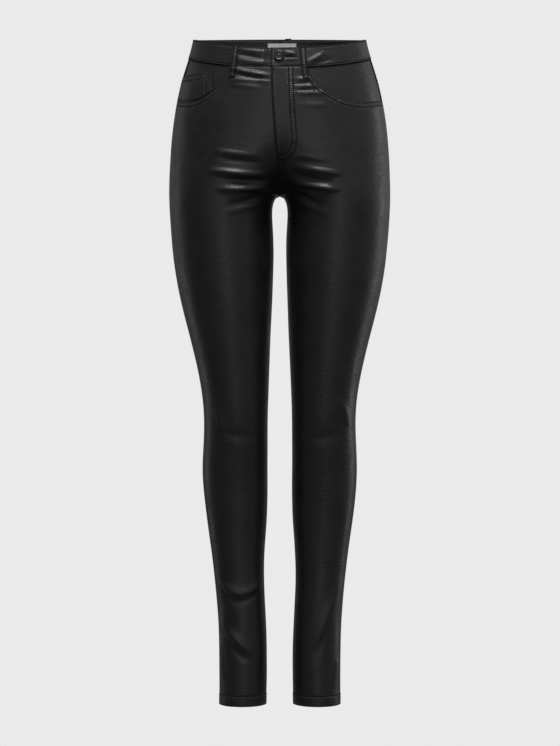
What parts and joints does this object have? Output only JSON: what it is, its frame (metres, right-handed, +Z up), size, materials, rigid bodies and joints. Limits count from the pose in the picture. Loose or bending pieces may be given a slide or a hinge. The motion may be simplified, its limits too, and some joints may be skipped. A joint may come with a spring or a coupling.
{
  "type": "skinny jeans",
  "caption": "High-waisted skinny jeans in black coated stretch twill, filled out as worn, with curved front pockets, a coin pocket, yoke, patch back pockets, fly and belt loops.",
  "frame": {"origin": "the middle of the waist opening, level with the middle of the waistband over the hips", "axes": "+Z up along the legs to the waist, the front faces -Y, +X is the wearer's left"},
  "size_m": [0.3504, 0.2294, 1.0693],
  "materials": {
    "coated_twill": "black stretch cotton twill with a thin satin coating",
    "plain_twill": "black twill, uncoated",
    "zip_coil": "black woven zip tape",
    "dark_metal": "dark gunmetal plating",
    "label_weave": "plain off-white woven label, blank"
  },
  "bodies": {
    "root": {"front_left": "coated_twill", "front_right": "coated_twill", "back_left": "coated_twill", "back_right": "coated_twill", "yoke_left": "coated_twill", "yoke_right": "coated_twill", "waistband_left": "coated_twill", "waistband_right": "coated_twill", "pocket_facing_left": "coated_twill", "pocket_facing_right": "coated_twill", "coin_pocket": "coated_twill", "back_pocket_left": "coated_twill", "back_pocket_right": "coated_twill", "fly_facing": "coated_twill", "fly_shield": "plain_twill", "zip_tape": "zip_coil", "zip_slider": "dark_metal", "belt_loop_front_left": "coated_twill", "belt_loop_front_right": "coated_twill", "belt_loop_side_left": "coated_twill", "belt_loop_side_right": "coated_twill", "belt_loop_back": "coated_twill", "button": "dark_metal", "waist_label": "label_weave"}
  },
  "joints": []
}
